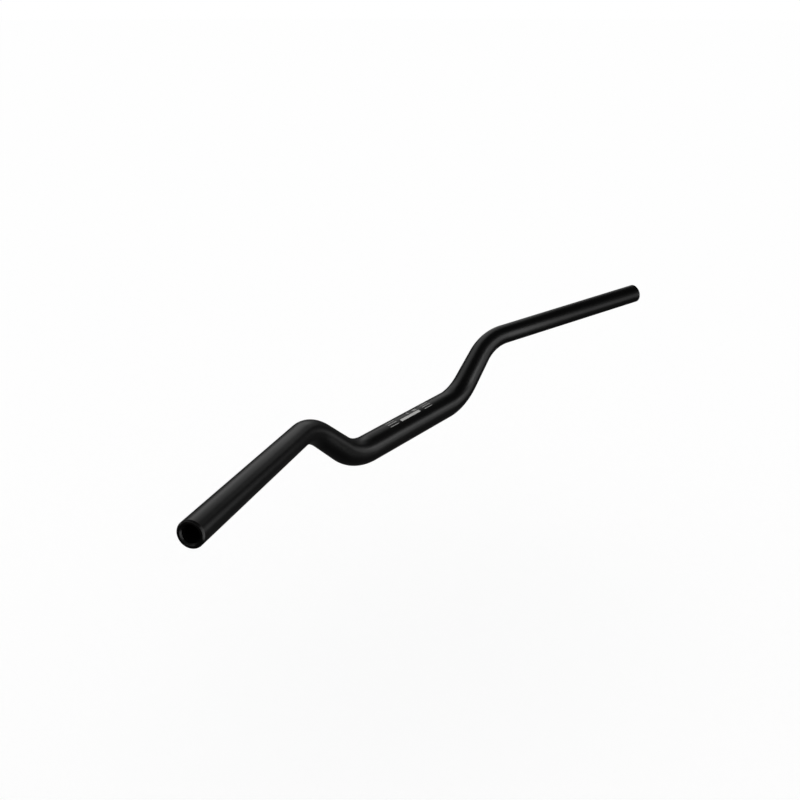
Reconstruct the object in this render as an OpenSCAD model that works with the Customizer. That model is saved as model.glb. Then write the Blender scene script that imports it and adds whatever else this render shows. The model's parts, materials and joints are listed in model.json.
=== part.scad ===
// Tapered handlebar for a motorbike: one hollow tube, thick where the risers clamp it and thinner
// where the hands hold it, bent up and out again on each side, with both ends swept back.
// Millimetres. The origin is the middle of the clamping length, on its axis.
// +X runs along the clamping length to one end, +Z is up, and the ends sweep back to -Y.

/* [Overall shape] */
// Width between the centres of the two open ends
bar_width = 745; // [700:5:800]
// Height of the open ends above the clamping length
bar_rise = 75; // [65:1:95]
// How far the open ends sweep back behind the clamping length
bar_sweep = 85; // [50:1:110]

/* [Bends] */
// Half width at which the tube turns up, measured to the sharp corner of its centre line
inner_corner = 93; // [88:0.5:105]
// Half width at which the tube turns out again, measured to the sharp corner
outer_corner = 156; // [145:0.5:170]
// Height of the outer corner above the clamping length
corner_height = 54.5; // [45:0.5:60]
// Radius of all four bends, on the centre line
bend_radius = 64; // [50:1:66]

/* [Tube] */
// Outer diameter of the clamping length
clamp_d = 28.6; // [28:0.1:32]
// Outer diameter of the two grip lengths
grip_d = 22.2; // [22:0.1:23]
// Wall thickness, the same all along the tube
wall = 4; // [2.5:0.1:5]
// Width of the 45 degree edge turned on the rims of the open ends
rim_chamfer = 1.2; // [0.4:0.1:1.5]

/* [Hidden] */
$fn = 96;

// Sides round the tapered stretch and steps through each bend, outside and in the bore
OUTSIDE = [48, 12];
BORE = [32, 8];
// The tapered stretch runs this far into the plain tube at both its ends, this much thinner,
// so that its flat sides stay just below the round surface
lap = 1.5;
lap_drop = 0.02;
// How far the bore's cutter reaches past the open ends
cut_past = 1;

// Corners of the centre line on the +X side, and the directions between them
CORNERS = [[inner_corner, 0, 0], [outer_corner, 0, corner_height]];
END = [bar_width / 2, -bar_sweep, bar_rise];
DIRECTIONS = [[1, 0, 0], unit(CORNERS[1] - CORNERS[0]), unit(END - CORNERS[1])];

// Both bends: the angle turned, the axis turned about, and the length of straight tube that each
// bend takes away on both sides of its corner
ANGLES = [for (i = [0, 1]) acos(DIRECTIONS[i] * DIRECTIONS[i + 1])];
AXES = [for (i = [0, 1]) unit(cross(DIRECTIONS[i], DIRECTIONS[i + 1]))];
SETBACKS = [for (angle = ANGLES) bend_radius * tan(angle / 2)];

// Straight lengths: half the clamping length, the rise between the bends, and the grip
clamp_half = inner_corner - SETBACKS[0];
rise_straight = norm(CORNERS[1] - CORNERS[0]) - SETBACKS[0] - SETBACKS[1];
grip_length = norm(END - CORNERS[1]) - SETBACKS[1];
GRIP_START = END - DIRECTIONS[2] * grip_length;

function unit(v) = v / norm(v);

// The vector v turned by an angle about an axis of length 1
function turned(v, axis, angle) =
    v * cos(angle) + cross(axis, v) * sin(angle) + axis * (axis * v) * (1 - cos(angle));

// The vector v carried from the clamping length round both bends, by the angles turned so far
function carried(v, so_far) = turned(turned(v, AXES[0], so_far[0]), AXES[1], so_far[1]);

// A point of the centre line inside bend i, after so_far degrees of it
function bend_point(i, so_far) =
    let (
        start = CORNERS[i] - DIRECTIONS[i] * SETBACKS[i],
        to_centre = cross(AXES[i], DIRECTIONS[i]) * bend_radius
    )
    start + to_centre - turned(to_centre, AXES[i], so_far);

// Stations of the tapered stretch, each [point, angles turned so far, part of the taper done].
// The taper is even along the centre line, from the first bend's start to the second one's end.
function stations(steps) =
    let (
        bend_lengths = [for (angle = ANGLES) bend_radius * angle * PI / 180],
        taper_length = bend_lengths[0] + rise_straight + bend_lengths[1],
        travelled = [0, bend_lengths[0] + rise_straight]
    )
    [
        [[clamp_half - lap, 0, 0], [0, 0], 0],
        for (i = [0, 1], step = [0 : steps])
            let (part = step / steps, so_far = ANGLES[i] * part)
            [
                bend_point(i, so_far),
                i == 0 ? [so_far, 0] : [ANGLES[0], so_far],
                (travelled[i] + bend_lengths[i] * part) / taper_length
            ],
        [GRIP_START + DIRECTIONS[2] * lap, ANGLES, 1]
    ];

// One ring of points round the centre line at a station
function ring(station, radius, sides) =
    let (across = carried([0, 1, 0], station[1]), over = carried([0, 0, 1], station[1]))
    [
        for (k = [0 : sides - 1])
            let (a = 360 * k / sides)
            station[0] + radius * (across * cos(a) + over * sin(a))
    ];

// Solid core of the tapered stretch through both bends, set in from the tube's outer surface
module tapered_core(inset, detail) {
    sides = detail[0];
    path = stations(detail[1]);
    from_r = clamp_d / 2 - inset - lap_drop;
    to_r = grip_d / 2 - inset - lap_drop;
    last = len(path) - 1;
    skin = [
        for (i = [0 : last - 1], k = [0 : sides - 1])
            let (
                a = i * sides + k,
                b = i * sides + (k + 1) % sides
            )
            each [[a, a + sides, b], [b, a + sides, b + sides]]
    ];
    caps = [
        [for (k = [0 : sides - 1]) k],
        [for (k = [sides - 1 : -1 : 0]) last * sides + k]
    ];
    polyhedron(
        points = [for (s = path) each ring(s, from_r + (to_r - from_r) * s[2], sides)],
        faces = concat(skin, caps),
        convexity = 4
    );
}

// Turns an upright shape so that it stands along a direction of length 1
module along(direction) {
    rotate([0, acos(direction.z), atan2(direction.y, direction.x)])
        children();
}

// Solid core of the plain grip length, turned to rim_r over the rim's chamfer
module grip_core(inset, rim_r, past) {
    r = grip_d / 2 - inset;
    flat_end = grip_length - rim_chamfer;
    translate(GRIP_START)
        along(DIRECTIONS[2])
            rotate_extrude()
                polygon([
                    [0, 0], [r, 0], [r, flat_end], [rim_r, grip_length],
                    [rim_r, grip_length + past], [0, grip_length + past]
                ]);
}

// Solid core of the whole bar, inset from its outer surface, with rims of radius rim_r
module bar_core(inset, rim_r, past, detail) {
    rotate([0, 90, 0])
        cylinder(r = clamp_d / 2 - inset, h = 2 * clamp_half, center = true);
    for (side = [0, 1])
        mirror([side, 0, 0]) {
            tapered_core(inset, detail);
            grip_core(inset, rim_r, past);
        }
}

module handlebar() {
    bore_r = grip_d / 2 - wall;
    color("#141415")
        difference() {
            bar_core(0, grip_d / 2 - rim_chamfer, 0, OUTSIDE);
            bar_core(wall, bore_r + rim_chamfer, cut_past, BORE);
        }
}

handlebar();
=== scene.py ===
import json
import math

import bmesh
import bpy
from bpy.props import FloatProperty, FloatVectorProperty, IntProperty, PointerProperty
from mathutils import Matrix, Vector


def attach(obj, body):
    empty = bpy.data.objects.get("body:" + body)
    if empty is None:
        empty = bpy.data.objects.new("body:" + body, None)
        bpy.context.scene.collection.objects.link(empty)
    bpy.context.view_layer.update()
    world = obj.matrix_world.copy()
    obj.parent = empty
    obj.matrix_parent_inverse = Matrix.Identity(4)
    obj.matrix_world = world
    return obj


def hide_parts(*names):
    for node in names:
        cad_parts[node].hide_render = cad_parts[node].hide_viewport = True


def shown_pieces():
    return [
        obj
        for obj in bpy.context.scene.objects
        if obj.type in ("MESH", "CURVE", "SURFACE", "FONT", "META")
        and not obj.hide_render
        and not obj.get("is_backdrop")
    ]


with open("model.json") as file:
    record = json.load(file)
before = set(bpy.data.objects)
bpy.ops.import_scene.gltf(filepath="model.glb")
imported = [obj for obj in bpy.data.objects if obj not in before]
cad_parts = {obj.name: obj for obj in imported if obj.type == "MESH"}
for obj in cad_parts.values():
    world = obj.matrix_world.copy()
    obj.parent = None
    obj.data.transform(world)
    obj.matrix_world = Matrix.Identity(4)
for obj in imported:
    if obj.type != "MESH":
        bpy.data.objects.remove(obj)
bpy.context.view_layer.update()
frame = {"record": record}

bl_info = {
    "name": "Tapered handlebar",
    "version": (1, 0),
    "blender": (4, 5, 0),
    "location": "3D View > Sidebar > Handlebar",
    "description": "A tapered motorbike handlebar with its printed marks, in a small studio",
    "category": "Add Mesh",
}

# Everything is in metres, in the CAD model's frame: the origin is the middle of the clamping
# length, +X runs along it, +Z is up, and the two grips sweep back to -Y.

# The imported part's mounts by name, which give the tube's radii
MOUNTS = {mount["name"]: mount for mount in frame["record"]["mounts"]}

# Parts of the wall's section, kept on its points so that each gets its own finish. A face has the
# mean part of its points, and belongs to a part if it is less than the margin below it.
SKIN, RIM, BORE = 0, 1, 2
PART_MARGIN = 0.4

# Rows of faces along each grip, and steps through each small round of a rim
GRIP_ROWS = 10
ROUND_STEPS = 4

# Distances in the tube's mesh: from a grip's last row to the rim's chamfer, from the start of the
# rim's own points to the chamfer, from a round to the support points beside it, and the most
# between points that become one where the sheet closes
LAST_ROW_GAP = 0.002
RIM_LEAD = 0.001
SUPPORT_GAP = 0.00006
SAME_POINT = 0.000002

# Points across a patch of ink, and the corner radius of a narrow one as part of its narrow side
PATCH_POINTS = 17
NARROW_CORNER = 1 / 4

# Nearly all values of a noise texture lie in this range
NOISE_RANGE = {"From Min": 0.3, "From Max": 0.7}
# Sockets of a colour mix, whose names are also those of its number and vector sockets
FACTOR, COLOUR_A, COLOUR_B = 0, 6, 7

WHITE = (1, 1, 1, 1)


def mount_radius(name):
    """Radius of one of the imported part's mounts, in metres."""
    return MOUNTS[name]["dims"]["r_mm"] / 1000


def linear(code):
    """An sRGB hex colour such as "#3a3a3c" as linear red, green, blue and alpha."""
    levels = [int(code[i:i + 2], 16) / 255 for i in (1, 3, 5)]
    return (*[v / 12.92 if v <= 0.04045 else ((v + 0.055) / 1.055) ** 2.4 for v in levels], 1)


# Sizes and colours

def length(name, description, default):
    """A length property in metres."""
    return FloatProperty(
        name=name, description=description, default=default, min=0, unit="LENGTH", precision=5
    )


def station(name, description, default):
    """A place along the bar in metres, to either side of the middle."""
    return FloatProperty(
        name=name, description=description, default=default, unit="LENGTH", precision=5
    )


def turn(name, description, degrees):
    """An angle property."""
    return FloatProperty(
        name=name, description=description, default=math.radians(degrees), subtype="ANGLE"
    )


def count(name, description, default, least=1):
    """A whole number property."""
    return IntProperty(name=name, description=description, default=default, min=least)


def colour(name, description, code):
    """A colour property whose default is an sRGB hex colour."""
    return FloatVectorProperty(
        name=name, description=description, default=linear(code), size=4, subtype="COLOR",
        min=0, max=1,
    )


class BarSizes(bpy.types.PropertyGroup):
    """Sizes of the tube."""

    width: length("Width", "Between the centres of the two open ends", 0.745)
    rise: length("Rise", "Height of the open ends above the clamping length", 0.075)
    sweep: length("Sweep", "How far the open ends lie behind the clamping length", 0.085)
    inner_corner: length("Inner corner", "Half width at the first bend's sharp corner", 0.093)
    outer_corner: length("Outer corner", "Half width at the second bend's sharp corner", 0.156)
    corner_height: length("Corner height", "Height of the second bend's corner", 0.0545)
    bend_radius: length("Bend radius", "Radius of all bends on the centre line", 0.064)
    clamp_radius: length(
        "Clamp radius", "Outer radius where the risers hold", mount_radius("clamp_zone")
    )
    grip_radius: length(
        "Grip radius", "Outer radius of the grips", mount_radius("right_grip")
    )
    bore_radius: length(
        "Bore radius", "Inner radius at the grips", mount_radius("right_bar_end")
    )
    rim_chamfer: length("Rim chamfer", "Width of the 45 degree edges of the rims", 0.0012)
    edge_softness: length("Edge softness", "Radius of the small rounds on the rims", 0.00025)
    bend_steps: count("Bend steps", "Rows of faces through each bend", 28, least=4)
    sides: count("Sides", "Faces round the tube", 112, least=12)


class PrintSizes(bpy.types.PropertyGroup):
    """Sizes of the marks printed on the clamping length."""

    shift: length("Shift", "How far the whole print lies off the middle, to -X", 0.0012)
    ink: length("Ink", "Thickness of the printed layer, half of it above the tube", 0.00008)
    field_length: length("Field length", "Length of the plain field", 0.033)
    field_width: length("Field width", "Width of the plain field round the tube", 0.0032)
    field_corner: length("Field corner", "Radius of the plain field's corners", 0.0005)
    field_place: station("Field place", "Middle of the field, along the bar", -0.0012)
    field_turn: turn("Field turn", "Turn of the field from the top towards -Y", 16.7)
    lines: count("Lines", "Alignment lines in each of the two groups", 5)
    line_length: length("Line length", "Length of an alignment line", 0.0140)
    line_width: length("Line width", "Width of an alignment line", 0.0005)
    line_offset: length("Line offset", "From the print's middle to a group's middle", 0.0301)
    line_turn: turn("Line turn", "Turn of the lowest line from the top towards -Y", 22.2)
    line_step: turn("Line step", "Turn from one alignment line to the next", -14)
    dashes: count("Dashes", "Short dashes above the field", 2)
    dash_length: length("Dash length", "Length of a short dash", 0.0064)
    dash_width: length("Dash width", "Width of a short dash", 0.0008)
    dash_place: station("Dash place", "Middle of the short dashes, along the bar", 0.0118)
    dash_turn: turn("Dash turn", "Turn of the lowest dash from the top towards -Y", 1.5)
    dash_step: turn("Dash step", "Turn from one short dash to the next", -7)
    tick_length: length("Tick length", "Length of the centre tick round the tube", 0.0036)
    tick_width: length("Tick width", "Width of the centre tick", 0.0008)
    tick_turn: turn("Tick turn", "Turn of the centre tick's middle from the top", -4)


class BarColours(bpy.types.PropertyGroup):
    """Colours of the finishes."""

    anodised: colour("Anodised", "Tint of the anodised skin's reflections", "#353535")
    anodised_pale: colour("Anodised, pale", "Tint where the dye took a little less", "#383838")
    bore: colour("Bore", "Tint of the drawn surface inside the tube", "#2b2b2c")
    ink: colour("Ink", "Printed marks", "#8f8f8d")
    ink_thin: colour("Ink, thin", "Printed marks where the layer is thinner", "#7b7b7a")
    floor: colour("Floor", "Studio floor", "#fefefe")


class HandlebarSettings(bpy.types.PropertyGroup):
    """Everything that can be set on the handlebar."""

    bar: PointerProperty(type=BarSizes)
    marks: PointerProperty(type=PrintSizes)
    colours: PointerProperty(type=BarColours)


# Helpers

def wire(tree, node, inputs):
    """Sets a node's inputs, by socket name or number. Each is a value, an output socket, or a node
    whose first shown output is meant."""
    for key, value in inputs.items():
        if isinstance(value, bpy.types.Node):
            value = next(output for output in value.outputs if output.enabled)
        if isinstance(value, bpy.types.NodeSocket):
            tree.links.new(value, node.inputs[key])
        else:
            node.inputs[key].default_value = value


def add_node(tree, kind, inputs=None, **settings):
    """A new node of a kind, with its settings and inputs."""
    node = tree.nodes.new(kind)
    for name, value in settings.items():
        setattr(node, name, value)
    wire(tree, node, inputs or {})
    return node


def new_tree(name, inputs):
    """A Geometry Nodes tree with a geometry output and the named inputs, and its input sockets."""
    tree = bpy.data.node_groups.new(name, "GeometryNodeTree")
    for label, kind in inputs.items():
        tree.interface.new_socket(label, in_out="INPUT", socket_type="NodeSocket" + kind)
    tree.interface.new_socket("Geometry", in_out="OUTPUT", socket_type="NodeSocketGeometry")
    return tree, add_node(tree, "NodeGroupInput").outputs


def grown(mesh, name, tree, values):
    """The plain mesh object that a tree makes of a mesh, with the tree's inputs set."""
    piece = bpy.data.objects.new(name, mesh)
    bpy.context.scene.collection.objects.link(piece)
    modifier = piece.modifiers.new(tree.name, "NODES")
    modifier.node_group = tree
    for item in tree.interface.items_tree:
        if item.name in values:
            modifier[item.identifier] = values[item.name]
    depsgraph = bpy.context.evaluated_depsgraph_get()
    made = bpy.data.meshes.new_from_object(
        piece.evaluated_get(depsgraph), preserve_all_data_layers=True, depsgraph=depsgraph
    )
    piece.modifiers.clear()
    piece.data = made
    made.name = name
    if not made.polygons:
        raise RuntimeError(f"{name} came out of its tree with no faces")
    # A mesh that starts in a tree has an empty first material slot, which none of its faces use
    if made.materials[0] is None:
        made.materials.pop(index=0)
    return piece


# Finishes

def new_finish(name):
    """A material with an empty Principled shader, and its tree."""
    finish = bpy.data.materials.new(name)
    finish.use_nodes = True
    return finish, finish.node_tree, finish.node_tree.nodes["Principled BSDF"]


def new_tube_finish(name):
    """A new finish for the tube's metal, and the surface's place on the straight tube, before it
    was bent, so that its patterns follow the bar."""
    finish, tree, shader = new_finish(name)
    wire(tree, shader, {"Metallic": 1.0})
    place = add_node(tree, "ShaderNodeAttribute", attribute_name="blank_place").outputs["Vector"]
    return finish, tree, shader, place


def black_anodised_skin(colours):
    """Drawn aluminium tube, satin polished along its length, then anodised and dyed black. The eye
    sees a near-black neutral surface, wide soft highlights along the tube, and very faint streaks
    and grain."""
    finish, tree, shader, place = new_tube_finish("black_anodised_skin")
    # Polishing streaks about 60 mm long and 1.2 mm wide. The real ones are a tenth of that width,
    # too fine to show.
    streaks = add_node(tree, "ShaderNodeTexNoise", {
        "Vector": add_node(tree, "ShaderNodeMapping", {
            "Vector": place, "Scale": (1 / 0.060, 1 / 0.0012, 1 / 0.0012),
        }),
        "Scale": 1.0, "Detail": 3.0,
    })
    # Uneven dye in patches of about 30 mm
    patches = add_node(tree, "ShaderNodeTexNoise", {
        "Vector": place, "Scale": 1 / 0.030, "Detail": 2.0,
    })
    # Grain of the etched surface, drawn 0.7 mm wide to show. The real grain is about 0.1 mm.
    grain = add_node(tree, "ShaderNodeTexNoise", {
        "Vector": place, "Scale": 1 / 0.0007, "Detail": 1.0,
    })
    wire(tree, shader, {
        "Base Color": add_node(tree, "ShaderNodeMix", {
            FACTOR: add_node(tree, "ShaderNodeMapRange", {
                "Value": patches, "From Min": 0.35, "From Max": 0.65,
            }),
            COLOUR_A: colours.anodised, COLOUR_B: colours.anodised_pale,
        }, data_type="RGBA"),
        "Roughness": add_node(tree, "ShaderNodeMapRange", {
            "Value": streaks, **NOISE_RANGE, "To Min": 0.29, "To Max": 0.315,
        }),
        "Normal": add_node(tree, "ShaderNodeBump", {
            "Height": grain, "Strength": 1.0, "Distance": 0.00002,
        }),
    })
    return finish


def black_anodised_bore(colours):
    """The tube's inside as it was drawn, anodised with the rest: duller and darker than the skin,
    with plain lines lengthwise."""
    finish, tree, shader, place = new_tube_finish("black_anodised_bore")
    # Drawing lines about 120 mm long and 0.8 mm wide, wider than the real ones so that they show
    lines = add_node(tree, "ShaderNodeTexNoise", {
        "Vector": add_node(tree, "ShaderNodeMapping", {
            "Vector": place, "Scale": (1 / 0.120, 1 / 0.0008, 1 / 0.0008),
        }),
        "Scale": 1.0, "Detail": 2.0,
    })
    wire(tree, shader, {
        "Base Color": colours.bore,
        "Roughness": add_node(tree, "ShaderNodeMapRange", {
            "Value": lines, **NOISE_RANGE, "To Min": 0.42, "To Max": 0.58,
        }),
        "Normal": add_node(tree, "ShaderNodeBump", {
            "Height": lines, "Strength": 0.6, "Distance": 0.00003,
        }),
    })
    return finish


def black_anodised_rim(colours):
    """The cut ends, faced and chamfered on a lathe before anodising: a little glossier than the
    skin, with fine rings round the bore."""
    finish, tree, shader, place = new_tube_finish("black_anodised_rim")
    radius = add_node(tree, "ShaderNodeVectorMath", {
        0: add_node(tree, "ShaderNodeVectorMath", {0: place, 1: (0, 1, 1)}, operation="MULTIPLY"),
    }, operation="LENGTH").outputs["Value"]
    # Turning rings 0.25 mm apart
    rings = add_node(tree, "ShaderNodeTexNoise", {
        "W": add_node(tree, "ShaderNodeMath", {0: radius, 1: 1 / 0.00025}, operation="MULTIPLY"),
        "Scale": 1.0, "Detail": 1.0,
    }, noise_dimensions="1D")
    wire(tree, shader, {
        "Base Color": colours.anodised_pale,
        "Roughness": add_node(tree, "ShaderNodeMapRange", {
            "Value": rings, **NOISE_RANGE, "To Min": 0.26, "To Max": 0.32,
        }),
        "Normal": add_node(tree, "ShaderNodeBump", {
            "Height": rings, "Strength": 0.4, "Distance": 0.00001,
        }),
    })
    return finish


def printed_ink(colours):
    """Pale grey pad-printed ink: matt, opaque, a little thinner in places."""
    finish, tree, shader = new_finish("printed_ink")
    # Thin places of about 0.9 mm
    thin = add_node(tree, "ShaderNodeTexNoise", {
        "Vector": add_node(tree, "ShaderNodeTexCoord").outputs["Object"],
        "Scale": 1 / 0.0009, "Detail": 3.0,
    })
    wire(tree, shader, {
        "Base Color": add_node(tree, "ShaderNodeMix", {
            FACTOR: add_node(tree, "ShaderNodeMapRange", {
                "Value": thin, "From Min": 0.3, "From Max": 0.55,
            }),
            COLOUR_A: colours.ink_thin, COLOUR_B: colours.ink,
        }, data_type="RGBA"),
        "Roughness": 0.55,
        "Normal": add_node(tree, "ShaderNodeBump", {
            "Height": thin, "Strength": 0.4, "Distance": 0.00001,
        }),
    })
    return finish


def floor_paper(colours):
    """Matt white background paper: no gloss at all."""
    finish, tree, shader = new_finish("floor_paper")
    wire(tree, shader, {
        "Base Color": colours.floor, "Roughness": 1.0, "Specular IOR Level": 0.0,
    })
    return finish


# The tube

def centre_line_marks(bar):
    """Distances along the centre line from its middle, on the +X side: where each of the two bends
    starts and ends, and where the bar ends."""
    points = [
        Vector((0, 0, 0)),
        Vector((bar.inner_corner, 0, 0)),
        Vector((bar.outer_corner, 0, bar.corner_height)),
        Vector((bar.width / 2, -bar.sweep, bar.rise)),
    ]
    runs = [b - a for a, b in zip(points, points[1:])]
    travelled, setback, bends = 0.0, 0.0, []
    for before, after in zip(runs, runs[1:]):
        angle = before.angle(after)
        travelled += before.length - setback
        setback = bar.bend_radius * math.tan(angle / 2)
        start = travelled - setback
        travelled = start + bar.bend_radius * angle
        bends.append((start, travelled))
    return bends, travelled + runs[-1].length - setback


def rounded(points, radius):
    """A line of (along, radius) points with its inner corners rounded. A support point stands close
    to both ends of each round, to keep the shading of the flat faces flat."""
    line = [points[0]]
    for before, corner, after in zip(points, points[1:], points[2:]):
        into = (corner - before).normalized()
        out = (after - corner).normalized()
        side = (out - into * into.dot(out)).normalized()
        angle = into.angle(out)
        reach = radius * math.tan(angle / 2)
        line.append(corner - into * (reach + SUPPORT_GAP))
        for step in range(ROUND_STEPS + 1):
            # The round starts along `into` and has turned by this much towards `out`
            turned = angle * step / ROUND_STEPS
            line.append(
                corner - into * reach
                + into * (radius * math.sin(turned)) + side * (radius * (1 - math.cos(turned)))
            )
        line.append(corner + out * (reach + SUPPORT_GAP))
    return line + [points[-1]]


def wall_section(bar):
    """The closed outline of the tube's wall, cut lengthwise and laid straight: points of (distance
    along the bar, radius, part of the wall). The outside is one diameter over the clamping length,
    thins evenly through both bends, and is one diameter again over the grips."""
    bends, half = centre_line_marks(bar)
    taper_from, taper_to = bends[0][0], bends[1][1]
    wall = bar.grip_radius - bar.bore_radius
    rim_from = half - bar.rim_chamfer
    stations = [0.0, taper_from / 2]
    for start, end in bends:
        stations += [
            start + (end - start) * step / bar.bend_steps for step in range(bar.bend_steps + 1)
        ]
    grip = rim_from - LAST_ROW_GAP - taper_to
    stations += [taper_to + grip * row / GRIP_ROWS for row in range(1, GRIP_ROWS + 1)]

    def outside(along):
        part = min(max((along - taper_from) / (taper_to - taper_from), 0), 1)
        return bar.clamp_radius + (bar.grip_radius - bar.clamp_radius) * part

    first, *rim, last = rounded([Vector(point) for point in (
        (rim_from - RIM_LEAD, bar.grip_radius),
        (rim_from, bar.grip_radius),
        (half, bar.grip_radius - bar.rim_chamfer),
        (half, bar.bore_radius + bar.rim_chamfer),
        (rim_from, bar.bore_radius),
        (rim_from - RIM_LEAD, bar.bore_radius),
    )], bar.edge_softness)
    right = [(along, outside(along), SKIN) for along in stations]
    right += [(*first, SKIN), *[(*point, RIM) for point in rim], (*last, BORE)]
    right += [(along, outside(along) - wall, BORE) for along in reversed(stations)]
    left = [(-along, radius, part) for along, radius, part in reversed(right[1:-1])]
    return right + left


def section_mesh(section):
    """The wall's section as a mesh of points in order, each with its part of the wall."""
    mesh = bpy.data.meshes.new("wall_section")
    build = bmesh.new()
    part_layer = build.verts.layers.float.new("part")
    for along, radius, part in section:
        vertex = build.verts.new((along, radius, 0))
        vertex[part_layer] = part
    build.to_mesh(mesh)
    build.free()
    return mesh


def half_centre_line(tree, given):
    """Adds to a tree the +X half of the centre line: straights from the origin through three
    points, with the two corners between them rounded to the bend radius."""
    points = [
        add_node(tree, "ShaderNodeCombineXYZ", {"X": given["Inner corner"]}),
        add_node(tree, "ShaderNodeCombineXYZ", {
            "X": given["Outer corner"], "Z": given["Corner height"],
        }),
        add_node(tree, "ShaderNodeCombineXYZ", {
            "X": given["Half width"],
            "Y": add_node(tree, "ShaderNodeMath", {0: given["Sweep"], 1: -1}, operation="MULTIPLY"),
            "Z": given["Rise"],
        }),
    ]
    # The switch comes with two items. Its first, at socket 1, stays at the origin.
    at_point = add_node(tree, "GeometryNodeIndexSwitch", data_type="VECTOR")
    for _ in points[1:]:
        at_point.index_switch_items.new()
    wire(tree, at_point, {
        "Index": add_node(tree, "GeometryNodeInputIndex"), **dict(enumerate(points, start=2)),
    })
    sharp_line = add_node(tree, "GeometryNodeMeshToCurve", {
        "Mesh": add_node(tree, "GeometryNodeSetPosition", {
            "Geometry": add_node(tree, "GeometryNodeMeshLine", {"Count": len(points) + 1}),
            "Position": at_point,
        }),
    })
    return add_node(tree, "GeometryNodeSetCurveNormal", {
        "Curve": add_node(tree, "GeometryNodeFilletCurve", {
            "Curve": sharp_line, "Radius": given["Bend radius"], "Count": given["Bend steps"],
        }, mode="POLY"),
    }, mode="Z_UP")


def tube_sheet(tree, given):
    """Adds to a tree the sheet that becomes the tube, with a row for each point of the wall's
    section and a column for each side of the tube. Also gives each of its points a place on the
    straight tube, as the distances along, across and over it, and a part of the wall."""
    points = add_node(tree, "GeometryNodeAttributeDomainSize", {
        "Geometry": given["Wall section"],
    }, component="MESH").outputs["Point Count"]
    # The last row and column lie on the first ones, so each way has one more than it needs
    rows, columns = [
        add_node(tree, "ShaderNodeMath", {0: number, 1: 1}, operation="ADD")
        for number in (points, given["Sides"])
    ]
    sheet = add_node(tree, "GeometryNodeMeshGrid", {"Vertices X": rows, "Vertices Y": columns})
    index = add_node(tree, "GeometryNodeInputIndex")
    # Half is added so that the division never falls just below a whole row
    row = add_node(tree, "ShaderNodeMath", {
        0: add_node(tree, "ShaderNodeMath", {
            0: add_node(tree, "ShaderNodeMath", {0: index, 1: 0.5}, operation="ADD"), 1: columns,
        }, operation="DIVIDE"),
    }, operation="FLOOR")
    column = add_node(tree, "ShaderNodeMath", {
        0: index, 1: add_node(tree, "ShaderNodeMath", {0: row, 1: columns}, operation="MULTIPLY"),
    }, operation="SUBTRACT")
    angle = add_node(tree, "ShaderNodeMath", {
        0: add_node(tree, "ShaderNodeMath", {0: column, 1: given["Sides"]}, operation="DIVIDE"),
        1: math.tau,
    }, operation="MULTIPLY")

    # The section's point of the row, spun round the straight tube by the column's angle
    point = add_node(tree, "ShaderNodeMath", {0: row, 1: points}, operation="MODULO")
    on_section = add_node(tree, "ShaderNodeSeparateXYZ", {
        "Vector": add_node(tree, "GeometryNodeSampleIndex", {
            "Geometry": given["Wall section"],
            "Value": add_node(tree, "GeometryNodeInputPosition"), "Index": point,
        }, data_type="FLOAT_VECTOR"),
    }).outputs
    along, radius = on_section["X"], on_section["Y"]
    across, over = [
        add_node(tree, "ShaderNodeMath", {
            0: radius, 1: add_node(tree, "ShaderNodeMath", {0: angle}, operation=wave),
        }, operation="MULTIPLY")
        for wave in ("COSINE", "SINE")
    ]
    part = add_node(tree, "GeometryNodeSampleIndex", {
        "Geometry": given["Wall section"],
        "Value": add_node(tree, "GeometryNodeInputNamedAttribute", {"Name": "part"},
                          data_type="FLOAT"),
        "Index": point,
    }, data_type="FLOAT")
    return sheet, (along, across, over), part


def bent_place(tree, centre_line, along, across, over):
    """Adds to a tree the place that a point of the straight tube has when the tube follows the
    centre line. The -X half mirrors the +X half."""
    sample = add_node(tree, "GeometryNodeSampleCurve", {
        "Curves": centre_line,
        "Length": add_node(tree, "ShaderNodeMath", {0: along}, operation="ABSOLUTE"),
    }, mode="LENGTH").outputs
    upright = add_node(tree, "ShaderNodeVectorMath", {
        0: sample["Tangent"], 1: sample["Normal"],
    }, operation="CROSS_PRODUCT")
    moved_across, moved_over = [
        add_node(tree, "ShaderNodeVectorMath", {0: way, "Scale": distance}, operation="SCALE")
        for way, distance in ((sample["Normal"], across), (upright, over))
    ]
    moved = add_node(tree, "ShaderNodeVectorMath", {
        0: moved_across, 1: moved_over,
    }, operation="ADD")
    right_half = add_node(tree, "ShaderNodeVectorMath", {
        0: sample["Position"], 1: moved,
    }, operation="ADD")
    mirror = add_node(tree, "ShaderNodeCombineXYZ", {
        "X": add_node(tree, "ShaderNodeMath", {0: along}, operation="SIGN"), "Y": 1, "Z": 1,
    })
    return add_node(tree, "ShaderNodeVectorMath", {0: right_half, 1: mirror}, operation="MULTIPLY")


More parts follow.
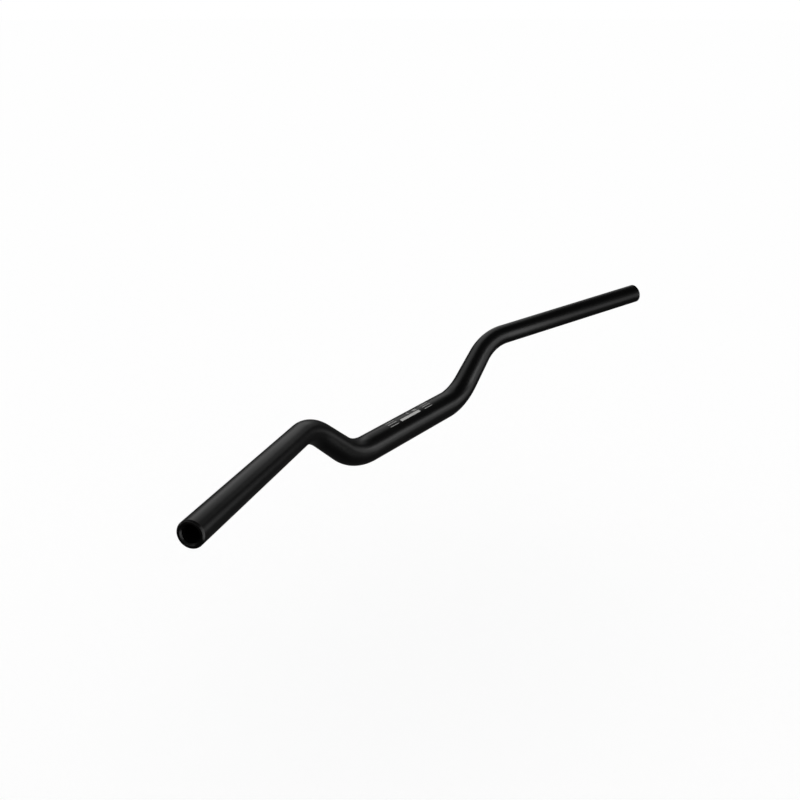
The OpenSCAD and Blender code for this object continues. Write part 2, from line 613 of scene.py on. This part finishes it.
def bent_tube_tree():
    """The tree that spins the wall's section into a straight tube, and then bends the tube along
    its centre line."""
    tree, given = new_tree("bent_tapered_tube", {
        "Wall section": "Geometry", "Half width": "Float", "Rise": "Float", "Sweep": "Float",
        "Inner corner": "Float", "Outer corner": "Float", "Corner height": "Float",
        "Bend radius": "Float", "Bend steps": "Int", "Sides": "Int",
        "Skin": "Material", "Rim": "Material", "Bore": "Material",
    })
    sheet, (along, across, over), part = tube_sheet(tree, given)
    with_place = add_node(tree, "GeometryNodeStoreNamedAttribute", {
        "Geometry": sheet, "Name": "blank_place",
        "Value": add_node(tree, "ShaderNodeCombineXYZ", {"X": along, "Y": across, "Z": over}),
    }, data_type="FLOAT_VECTOR", domain="POINT")
    with_part = add_node(tree, "GeometryNodeStoreNamedAttribute", {
        "Geometry": with_place, "Name": "part", "Value": part,
    }, data_type="FLOAT", domain="POINT")
    bent = add_node(tree, "GeometryNodeSetPosition", {
        "Geometry": with_part,
        "Position": bent_place(tree, half_centre_line(tree, given), along, across, over),
    })
    closed = add_node(tree, "GeometryNodeMergeByDistance", {
        "Geometry": bent, "Distance": SAME_POINT,
    })
    # The sheet's faces point into the wall, so they are turned to point out of it
    outward = add_node(tree, "GeometryNodeFlipFaces", {"Mesh": closed})
    smooth = add_node(tree, "GeometryNodeSetShadeSmooth", {"Geometry": outward})
    painted = add_node(tree, "GeometryNodeRealizeInstances", {"Geometry": smooth})
    face_part = add_node(tree, "GeometryNodeInputNamedAttribute", {"Name": "part"},
                         data_type="FLOAT")
    for number, finish in ((SKIN, "Skin"), (RIM, "Rim"), (BORE, "Bore")):
        painted = add_node(tree, "GeometryNodeSetMaterial", {
            "Geometry": painted, "Material": given[finish],
            "Selection": add_node(tree, "FunctionNodeCompare", {
                0: face_part, 1: number - PART_MARGIN,
            }, data_type="FLOAT", operation="GREATER_THAN"),
        })
    add_node(tree, "NodeGroupOutput", {"Geometry": painted})
    return tree


# The printed marks

def ink_patch(tree, given):
    """Adds to a tree one patch of ink with rounded corners, wrapped round the tube at its top."""
    # Two points along the patch and through it are enough, but across it bends with the tube
    flat = add_node(tree, "GeometryNodeMeshCube", {
        "Size": add_node(tree, "ShaderNodeCombineXYZ", {
            "X": given["Length"], "Y": given["Width"], "Z": given["Ink"],
        }),
        "Vertices X": 2, "Vertices Y": PATCH_POINTS, "Vertices Z": 2,
    })
    place = add_node(tree, "ShaderNodeSeparateXYZ", {
        "Vector": add_node(tree, "GeometryNodeInputPosition"),
    }).outputs

    # How far into the corner's round a point is, and how much that takes off the patch's end
    to_side = add_node(tree, "ShaderNodeMath", {0: place["Y"]}, operation="ABSOLUTE")
    plain_side = add_node(tree, "ShaderNodeMath", {
        0: add_node(tree, "ShaderNodeMath", {0: given["Width"], 1: 0.5}, operation="MULTIPLY"),
        1: given["Corner"],
    }, operation="SUBTRACT")
    into = add_node(tree, "ShaderNodeMath", {
        0: add_node(tree, "ShaderNodeMath", {0: to_side, 1: plain_side}, operation="SUBTRACT"),
        1: 0,
    }, operation="MAXIMUM")
    left_over = add_node(tree, "ShaderNodeMath", {
        0: add_node(tree, "ShaderNodeMath", {
            0: add_node(tree, "ShaderNodeMath", {0: given["Corner"], 1: 2}, operation="POWER"),
            1: add_node(tree, "ShaderNodeMath", {0: into, 1: 2}, operation="POWER"),
        }, operation="SUBTRACT"),
        1: 0,
    }, operation="MAXIMUM")
    taken_off = add_node(tree, "ShaderNodeMath", {
        0: given["Corner"], 1: add_node(tree, "ShaderNodeMath", {0: left_over}, operation="SQRT"),
    }, operation="SUBTRACT")
    along = add_node(tree, "ShaderNodeMath", {
        0: place["X"],
        1: add_node(tree, "ShaderNodeMath", {
            0: taken_off, 1: add_node(tree, "ShaderNodeMath", {0: place["X"]}, operation="SIGN"),
        }, operation="MULTIPLY"),
    }, operation="SUBTRACT")

    # The flat patch's width becomes an arc, and its thickness lies half above the tube
    radius = add_node(tree, "ShaderNodeMath", {
        0: given["Tube radius"], 1: place["Z"],
    }, operation="ADD")
    angle = add_node(tree, "ShaderNodeMath", {
        0: place["Y"], 1: given["Tube radius"],
    }, operation="DIVIDE")
    across, over = [
        add_node(tree, "ShaderNodeMath", {
            0: radius, 1: add_node(tree, "ShaderNodeMath", {0: angle}, operation=wave),
        }, operation="MULTIPLY")
        for wave in ("SINE", "COSINE")
    ]
    return add_node(tree, "GeometryNodeSetPosition", {
        "Geometry": flat,
        "Position": add_node(tree, "ShaderNodeCombineXYZ", {"X": along, "Y": across, "Z": over}),
    })


def printed_marks_tree():
    """The tree that lays equal rounded patches of ink round the tube: a number of them, each
    turned by one step from the last, and the same again on the other side of the middle."""
    tree, given = new_tree("printed_marks", {
        "Tube radius": "Float", "Length": "Float", "Width": "Float", "Ink": "Float",
        "Corner": "Float", "Count": "Int", "First turn": "Float", "Step": "Float",
        "Offset": "Float", "Both sides": "Bool", "Shift": "Float", "Finish": "Material",
    })
    turned = add_node(tree, "ShaderNodeMath", {
        0: add_node(tree, "GeometryNodeInputIndex"), 1: given["Step"], 2: given["First turn"],
    }, operation="MULTIPLY_ADD")
    row = add_node(tree, "GeometryNodeInstanceOnPoints", {
        "Points": add_node(tree, "GeometryNodePoints", {
            "Count": given["Count"],
            "Position": add_node(tree, "ShaderNodeCombineXYZ", {"X": given["Offset"]}),
        }),
        "Instance": ink_patch(tree, given),
        "Rotation": add_node(tree, "ShaderNodeCombineXYZ", {"X": turned}),
    })
    # The same row as far on the other side of the middle, where it is wanted
    to_other_side = add_node(tree, "ShaderNodeMath", {
        0: given["Offset"], 1: -2,
    }, operation="MULTIPLY")
    other = add_node(tree, "GeometryNodeTransform", {
        "Geometry": row,
        "Translation": add_node(tree, "ShaderNodeCombineXYZ", {"X": to_other_side}),
    })
    second = add_node(tree, "GeometryNodeSwitch", {
        "Switch": given["Both sides"], "True": other,
    }, input_type="GEOMETRY")
    both = add_node(tree, "GeometryNodeJoinGeometry")
    for source in (second, row):
        wire(tree, both, {"Geometry": source})
    to_place = add_node(tree, "ShaderNodeMath", {
        0: given["Shift"], 1: -1,
    }, operation="MULTIPLY")
    shifted = add_node(tree, "GeometryNodeTransform", {
        "Geometry": both,
        "Translation": add_node(tree, "ShaderNodeCombineXYZ", {"X": to_place}),
    })
    add_node(tree, "NodeGroupOutput", {
        "Geometry": add_node(tree, "GeometryNodeSetMaterial", {
            "Geometry": add_node(tree, "GeometryNodeRealizeInstances", {"Geometry": shifted}),
            "Material": given["Finish"],
        }),
    })
    return tree


# The studio

# Soft lights round the bar, as the photograph's highlights show them: azimuth from +Y towards +X
# and elevation as the lit point sees them, distance, width and height, and brightness
SOFT_LIGHTS = {
    "front_right_softbox": (133, 12, 2.86, 0.75, 0.74, 1.62),
    "front_strip": (164, -1, 0.70, 0.31, 0.67, 1.97),
    "front_right_fill": (133, 0, 1.19, 1.05, 0.52, 0.71),
    "front_left_softbox": (188, 1, 0.70, 0.80, 0.91, 1.96),
    "rear_overhead_softbox": (-6, 51, 1.17, 1.75, 0.85, 0.48),
    "rear_softbox": (26, 40, 0.70, 1.06, 0.55, 0.47),
    "rear_right_softbox": (64, 20, 4.00, 4.67, 1.10, 0.42),
    "rear_left_softbox": (348, 8, 2.00, 1.40, 0.60, 1.2),
    "left_softbox": (272, 24, 2.00, 2.00, 1.00, 1.2),
}
LIT_POINT = Vector((0, -0.03, 0.03))

# Brightness of the room to the camera and to matt surfaces, and in the bar's reflections
ROOM_SEEN = 1.0
ROOM_REFLECTED = 0.042

# The floor is a disc, in metres, wide enough for its edge to be lost in the white
FLOOR_RADIUS = 60
FLOOR_HEIGHT = -0.30
FLOOR_SIDES = 96

# The photograph's viewpoint: the camera's place in metres, its azimuth and elevation in degrees,
# its lens and sensor in millimetres, and its shift as parts of the picture's width
CAMERA_PLACE = (-0.743258, -0.545787, 0.421716)
CAMERA_AZIMUTH = 232.479
CAMERA_ELEVATION = 19.999
CAMERA_LENS = 42.47
CAMERA_SENSOR = 36
CAMERA_SHIFT = (0.0125, -0.0628)


def direction(azimuth, elevation):
    """The direction to an azimuth, from +Y towards +X, and an elevation, in degrees."""
    azimuth, elevation = math.radians(azimuth), math.radians(elevation)
    level = math.cos(elevation)
    return Vector((math.sin(azimuth) * level, math.cos(azimuth) * level, math.sin(elevation)))


def placed(scene, data, place, back):
    """The object of a light or camera, at a place and with its back in a direction."""
    thing = bpy.data.objects.new(data.name, data)
    scene.collection.objects.link(thing)
    thing.location = place
    thing.rotation_mode = "QUATERNION"
    thing.rotation_quaternion = back.to_track_quat("Z", "Y")
    return thing


def add_room(scene):
    """Makes the world white to the camera and to matt surfaces, and dark in reflections, where only
    the soft lights show."""
    world = bpy.data.worlds.new("white_room")
    scene.world = world
    world.use_nodes = True
    tree = world.node_tree
    seen = tree.nodes["Background"]
    wire(tree, seen, {"Color": WHITE, "Strength": ROOM_SEEN})
    wire(tree, tree.nodes["World Output"], {
        "Surface": add_node(tree, "ShaderNodeMixShader", {
            0: add_node(tree, "ShaderNodeLightPath").outputs["Is Glossy Ray"],
            1: seen,
            2: add_node(tree, "ShaderNodeBackground", {
                "Color": WHITE, "Strength": ROOM_REFLECTED,
            }),
        }),
    })


def add_floor(scene):
    """Adds the paper floor, which stays out of reflections and throws no shadow."""
    mesh = bpy.data.meshes.new("floor")
    build = bmesh.new()
    bmesh.ops.create_circle(build, cap_ends=True, segments=FLOOR_SIDES, radius=FLOOR_RADIUS)
    build.to_mesh(mesh)
    build.free()
    mesh.materials.append(floor_paper(scene.handlebar.colours))
    floor = bpy.data.objects.new("floor", mesh)
    scene.collection.objects.link(floor)
    floor.location.z = FLOOR_HEIGHT
    floor.visible_glossy = False
    floor.visible_shadow = False
    floor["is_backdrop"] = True


def add_soft_lights(scene):
    """Adds the soft lights. They reach only the bar, so that the floor stays evenly white."""
    lit = bpy.data.collections.new("lit_by_softboxes")
    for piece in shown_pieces():
        lit.objects.link(piece)
    for name, (azimuth, elevation, distance, wide, high, brightness) in SOFT_LIGHTS.items():
        light = bpy.data.lights.new(name, "AREA")
        light.shape = "RECTANGLE"
        light.size, light.size_y = wide, high
        light.energy = brightness * math.pi * wide * high
        towards = direction(azimuth, elevation)
        lamp = placed(scene, light, LIT_POINT + towards * distance, towards)
        lamp.visible_camera = False
        lamp.light_linking.receiver_collection = lit


def add_camera(scene):
    """Adds the camera at the photograph's viewpoint."""
    view = bpy.data.cameras.new("photo_view")
    view.sensor_width = CAMERA_SENSOR
    view.lens = CAMERA_LENS
    view.shift_x, view.shift_y = CAMERA_SHIFT
    scene.camera = placed(scene, view, CAMERA_PLACE, direction(CAMERA_AZIMUTH, CAMERA_ELEVATION))


# Operators

class HANDLEBAR_OT_tube(bpy.types.Operator):
    """Make the bent tapered tube with its open, chamfered ends"""

    bl_idname = "handlebar.tube"
    bl_label = "Tube"

    def execute(self, context):
        bar = context.scene.handlebar.bar
        colours = context.scene.handlebar.colours
        tube = grown(section_mesh(wall_section(bar)), "bar_tube", bent_tube_tree(), {
            "Half width": bar.width / 2, "Rise": bar.rise, "Sweep": bar.sweep,
            "Inner corner": bar.inner_corner, "Outer corner": bar.outer_corner,
            "Corner height": bar.corner_height, "Bend radius": bar.bend_radius,
            "Bend steps": bar.bend_steps, "Sides": bar.sides,
            "Skin": black_anodised_skin(colours), "Rim": black_anodised_rim(colours),
            "Bore": black_anodised_bore(colours),
        })
        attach(tube, "root")
        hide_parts("handlebar")
        return {"FINISHED"}


class HANDLEBAR_OT_marks(bpy.types.Operator):
    """Print the plain field, dashes, centre tick and alignment lines on the clamping length"""

    bl_idname = "handlebar.marks"
    bl_label = "Printed marks"

    def execute(self, context):
        marks = context.scene.handlebar.marks
        tree = printed_marks_tree()
        # What the marks share. Each is one patch at the middle unless its own values say more.
        shared = {
            "Tube radius": context.scene.handlebar.bar.clamp_radius,
            "Ink": marks.ink, "Shift": marks.shift,
            "Finish": printed_ink(context.scene.handlebar.colours),
            "Count": 1, "Step": 0.0, "Offset": 0.0, "Both sides": False,
        }
        own = {
            "print_field": {
                "Length": marks.field_length, "Width": marks.field_width,
                "Corner": marks.field_corner, "First turn": marks.field_turn,
                "Offset": marks.field_place,
            },
            "print_dashes": {
                "Length": marks.dash_length, "Width": marks.dash_width,
                "Corner": marks.dash_width * NARROW_CORNER, "Count": marks.dashes,
                "First turn": marks.dash_turn, "Step": marks.dash_step,
                "Offset": marks.dash_place,
            },
            # The tick runs round the tube, so its patch is longer across than along
            "print_tick": {
                "Length": marks.tick_width, "Width": marks.tick_length,
                "Corner": marks.tick_width * NARROW_CORNER, "First turn": marks.tick_turn,
            },
            "print_alignment_lines": {
                "Length": marks.line_length, "Width": marks.line_width,
                "Corner": marks.line_width * NARROW_CORNER, "Count": marks.lines,
                "First turn": marks.line_turn, "Step": marks.line_step,
                "Offset": marks.line_offset, "Both sides": True,
            },
        }
        for name, values in own.items():
            piece = grown(bpy.data.meshes.new(name), name, tree, {**shared, **values})
            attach(piece, "root")
        return {"FINISHED"}


class HANDLEBAR_OT_studio(bpy.types.Operator):
    """Add the floor, the soft lights and the camera"""

    bl_idname = "handlebar.studio"
    bl_label = "Studio"

    def execute(self, context):
        scene = context.scene
        scene.view_settings.view_transform = "Standard"
        add_room(scene)
        add_floor(scene)
        add_soft_lights(scene)
        add_camera(scene)
        return {"FINISHED"}


# The panel, and what Blender is told of

OPERATORS = (HANDLEBAR_OT_tube, HANDLEBAR_OT_marks, HANDLEBAR_OT_studio)


class HANDLEBAR_PT_panel(bpy.types.Panel):
    """Buttons and sizes in the 3D view's sidebar"""

    bl_idname = "HANDLEBAR_PT_panel"
    bl_label = "Tapered handlebar"
    bl_space_type = "VIEW_3D"
    bl_region_type = "UI"
    bl_category = "Handlebar"

    def draw(self, context):
        settings = context.scene.handlebar
        for operator in OPERATORS:
            self.layout.operator(operator.bl_idname)
        for group in (settings.bar, settings.marks, settings.colours):
            box = self.layout.box()
            for name in group.__annotations__:
                box.prop(group, name)


CLASSES = (BarSizes, PrintSizes, BarColours, HandlebarSettings, *OPERATORS, HANDLEBAR_PT_panel)


def register():
    for kind in CLASSES:
        bpy.utils.register_class(kind)
    bpy.types.Scene.handlebar = PointerProperty(type=HandlebarSettings)


def unregister():
    del bpy.types.Scene.handlebar
    for kind in reversed(CLASSES):
        bpy.utils.unregister_class(kind)


def main():
    register()
    bpy.ops.handlebar.tube()
    bpy.ops.handlebar.marks()
    bpy.ops.handlebar.studio()


if __name__ == "__main__":
    main()
